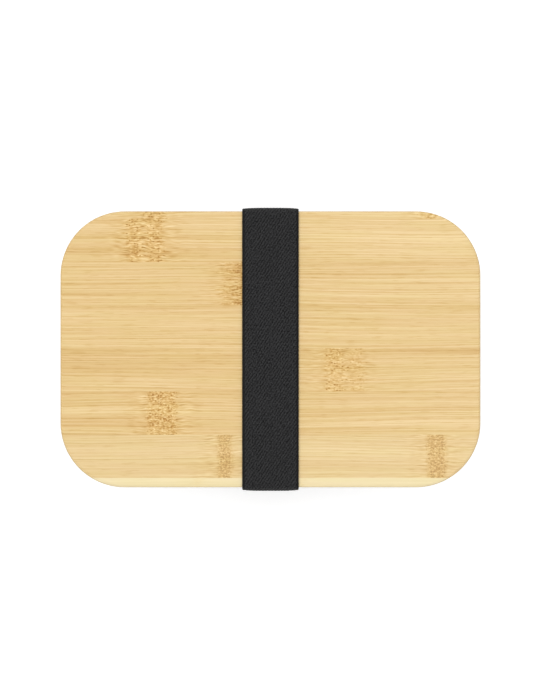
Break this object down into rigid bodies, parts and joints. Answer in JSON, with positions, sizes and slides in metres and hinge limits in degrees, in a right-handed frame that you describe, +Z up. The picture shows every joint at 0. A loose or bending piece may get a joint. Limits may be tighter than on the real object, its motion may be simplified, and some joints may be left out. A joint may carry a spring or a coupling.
{
  "type": "bento lunch box",
  "caption": "Rounded steel food container with a bamboo lid and its seal, a movable divider inside, and an elastic band that wraps round the box to hold it shut.",
  "frame": {"origin": "middle of the underside of the band, where the box stands", "axes": "+Z up, X along the box's length and the lid's staves, Y across the box along the band"},
  "size_m": [0.186, 0.1254, 0.0632],
  "materials": {
    "bamboo": "flat-grain bamboo, sanded and lightly oiled",
    "steel": "satin stainless steel",
    "silicone_clear": "translucent silicone, matte",
    "silicone_grey": "grey silicone, matte",
    "elastic": "woven elastic webbing",
    "thread": "polyester sewing thread"
  },
  "bodies": {
    "container": {"container_shell": "steel"},
    "lid": {"lid_top_stave_1": "bamboo", "lid_top_stave_2": "bamboo", "lid_top_stave_3": "bamboo", "lid_top_stave_4": "bamboo", "lid_top_stave_5": "bamboo", "lid_top_stave_6": "bamboo", "lid_top_stave_7": "bamboo", "lid_top_stave_8": "bamboo", "lid_under_stave_1": "bamboo", "lid_under_stave_2": "bamboo", "lid_under_stave_3": "bamboo", "lid_under_stave_4": "bamboo", "lid_under_stave_5": "bamboo", "lid_under_stave_6": "bamboo", "lid_under_stave_7": "bamboo", "lid_seal_ring": "silicone_clear"},
    "divider": {"divider_plate": "steel", "divider_seal": "silicone_grey"},
    "band_lower": {"band_base": "elastic", "band_stitching": "thread", "band_side_front": "elastic", "band_side_rear": "elastic"},
    "band_upper": {"band_top": "elastic"}
  },
  "joints": [
    {"name": "lid_lift", "type": "slide", "parent": "container", "child": "lid", "axis": [0, 0, 1], "range_m": [0, 0.045]},
    {"name": "band_slide", "type": "slide", "parent": "container", "child": "band_lower", "axis": [1, 0, 0], "range_m": [-0.11, 0.11]},
    {"name": "band_stretch", "type": "slide", "parent": "band_lower", "child": "band_upper", "axis": [0, 0, 1], "range_m": [0, 0.045], "stiffness_N_per_m": 60, "deforming": ["band_side_front", "band_side_rear"]},
    {"name": "divider_slide", "type": "slide", "parent": "container", "child": "divider", "axis": [1, 0, 0], "range_m": [-0.084, 0.04]}
  ],
  "couplings": [
    {"joint": "band_stretch", "follows": "lid_lift", "ratio": 1}
  ]
}
